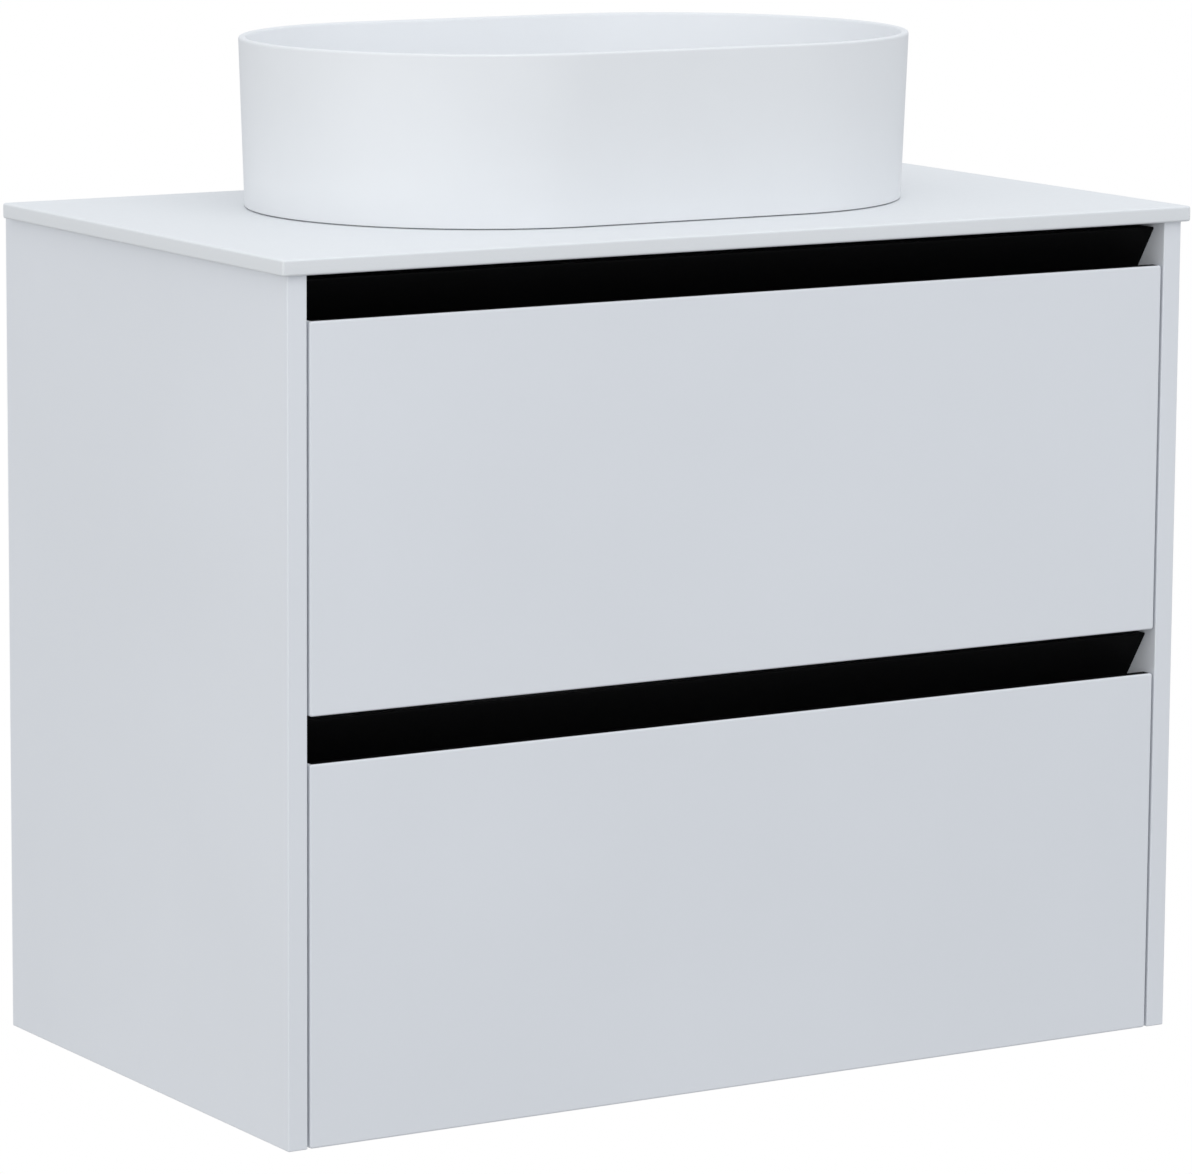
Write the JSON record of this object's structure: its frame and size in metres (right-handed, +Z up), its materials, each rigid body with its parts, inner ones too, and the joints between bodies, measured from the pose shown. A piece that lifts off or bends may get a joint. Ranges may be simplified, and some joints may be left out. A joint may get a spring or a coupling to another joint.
{
  "type": "vessel sink on vanity",
  "caption": "Wall-hung bathroom vanity: matte white cabinet with two finger-pull drawers on full-extension runners, thin countertop and a stadium-shaped vessel basin with a push waste.",
  "frame": {"origin": "on the wall plane, at the centre of the four wall fixing holes, midway between the side panels", "axes": "+X to the right as seen from the front, +Y into the wall, +Z up; the drawers open towards -Y"},
  "size_m": [0.8, 0.4545, 0.78],
  "materials": {
    "white_lacquer": "matte white lacquer on fibreboard",
    "white_melamine": "white melamine board",
    "linen_board": "pale grey linen-effect melamine board",
    "countertop_stone": "matte white solid surface",
    "basin_ceramic": "matte white ceramic",
    "black_channel": "matte black powder coat",
    "zinc_steel": "bright zinc-plated steel",
    "bearing_steel": "polished bearing steel",
    "screw_steel": "zinc-plated",
    "spring_steel": "drawn wire",
    "beech": "fluted beech",
    "chrome": "polished",
    "brass": "machined",
    "black_rubber": "moulded",
    "sealant": "translucent white silicone",
    "grey_plastic": "moulded acetal"
  },
  "bodies": {
    "cabinet": {"basin": "basin_ceramic", "basin_sealant": "sealant", "board_dowels": "beech", "bottom_panel": "white_melamine", "cam_bolts": "screw_steel", "cam_locks": "screw_steel", "channel_brackets": "zinc_steel", "channel_screws": "screw_steel", "countertop": "countertop_stone", "finger_channel_lower": "black_channel", "finger_channel_upper": "black_channel", "hanging_rail": "white_melamine", "lower_back_rail": "white_melamine", "lower_runner_cabinet_member_left": "zinc_steel", "lower_runner_cabinet_member_right": "zinc_steel", "plug_cartridge": "grey_plastic", "plug_spring": "spring_steel", "runner_cabinet_screws": "screw_steel", "side_panel_left": "white_lacquer", "side_panel_right": "white_lacquer", "top_front_rail": "white_melamine", "upper_runner_cabinet_member_left": "zinc_steel", "upper_runner_cabinet_member_right": "zinc_steel", "waste_back_nut": "brass", "waste_body": "chrome", "waste_flange_gasket": "black_rubber", "waste_lower_washer": "black_rubber"},
    "waste_plug_set": {"waste_plug": "chrome", "plug_seal": "black_rubber", "plug_stem": "brass"},
    "upper_drawer": {"upper_box_back": "linen_board", "upper_box_floor": "linen_board", "upper_box_front": "linen_board", "upper_box_screws": "screw_steel", "upper_box_side_left": "linen_board", "upper_box_side_right": "linen_board", "upper_cutout_front": "linen_board", "upper_cutout_sides": "linen_board", "upper_drawer_front": "white_lacquer", "upper_runner_drawer_member_left": "zinc_steel", "upper_runner_drawer_member_right": "zinc_steel", "upper_runner_drawer_screws": "screw_steel"},
    "upper_runner_middles": {"upper_runner_middle_member_left": "zinc_steel", "upper_runner_middle_member_right": "zinc_steel"},
    "upper_outer_cages": {"upper_outer_ball_cages": "bearing_steel"},
    "upper_inner_cages": {"upper_inner_ball_cages": "bearing_steel"},
    "lower_drawer": {"lower_box_back": "linen_board", "lower_box_floor": "linen_board", "lower_box_front": "linen_board", "lower_box_screws": "screw_steel", "lower_box_side_left": "linen_board", "lower_box_side_right": "linen_board", "lower_drawer_front": "white_lacquer", "lower_runner_drawer_member_left": "zinc_steel", "lower_runner_drawer_member_right": "zinc_steel", "lower_runner_drawer_screws": "screw_steel"},
    "lower_runner_middles": {"lower_runner_middle_member_left": "zinc_steel", "lower_runner_middle_member_right": "zinc_steel"},
    "lower_outer_cages": {"lower_outer_ball_cages": "bearing_steel"},
    "lower_inner_cages": {"lower_inner_ball_cages": "bearing_steel"}
  },
  "joints": [
    {"name": "upper_drawer_slide", "type": "slide", "parent": "cabinet", "child": "upper_drawer", "axis": [0, -1, 0], "range_m": [0, 0.4]},
    {"name": "upper_runner_middles_slide", "type": "slide", "parent": "cabinet", "child": "upper_runner_middles", "axis": [0, -1, 0], "range_m": [0, 0.2]},
    {"name": "upper_outer_cages_slide", "type": "slide", "parent": "cabinet", "child": "upper_outer_cages", "axis": [0, -1, 0], "range_m": [0, 0.1]},
    {"name": "upper_inner_cages_slide", "type": "slide", "parent": "cabinet", "child": "upper_inner_cages", "axis": [0, -1, 0], "range_m": [0, 0.3]},
    {"name": "lower_drawer_slide", "type": "slide", "parent": "cabinet", "child": "lower_drawer", "axis": [0, -1, 0], "range_m": [0, 0.4]},
    {"name": "lower_runner_middles_slide", "type": "slide", "parent": "cabinet", "child": "lower_runner_middles", "axis": [0, -1, 0], "range_m": [0, 0.2]},
    {"name": "lower_outer_cages_slide", "type": "slide", "parent": "cabinet", "child": "lower_outer_cages", "axis": [0, -1, 0], "range_m": [0, 0.1]},
    {"name": "lower_inner_cages_slide", "type": "slide", "parent": "cabinet", "child": "lower_inner_cages", "axis": [0, -1, 0], "range_m": [0, 0.3]},
    {"name": "plug_press", "type": "slide", "parent": "cabinet", "child": "waste_plug_set", "axis": [0, 0, 1], "range_m": [-0.008, 0], "stiffness_N_per_m": 500, "springref_m": 0.012, "deforming": ["plug_spring"]}
  ],
  "couplings": [
    {"joint": "upper_runner_middles_slide", "follows": "upper_drawer_slide", "ratio": 0.5},
    {"joint": "upper_outer_cages_slide", "follows": "upper_drawer_slide", "ratio": 0.25},
    {"joint": "upper_inner_cages_slide", "follows": "upper_drawer_slide", "ratio": 0.75},
    {"joint": "lower_runner_middles_slide", "follows": "lower_drawer_slide", "ratio": 0.5},
    {"joint": "lower_outer_cages_slide", "follows": "lower_drawer_slide", "ratio": 0.25},
    {"joint": "lower_inner_cages_slide", "follows": "lower_drawer_slide", "ratio": 0.75}
  ]
}
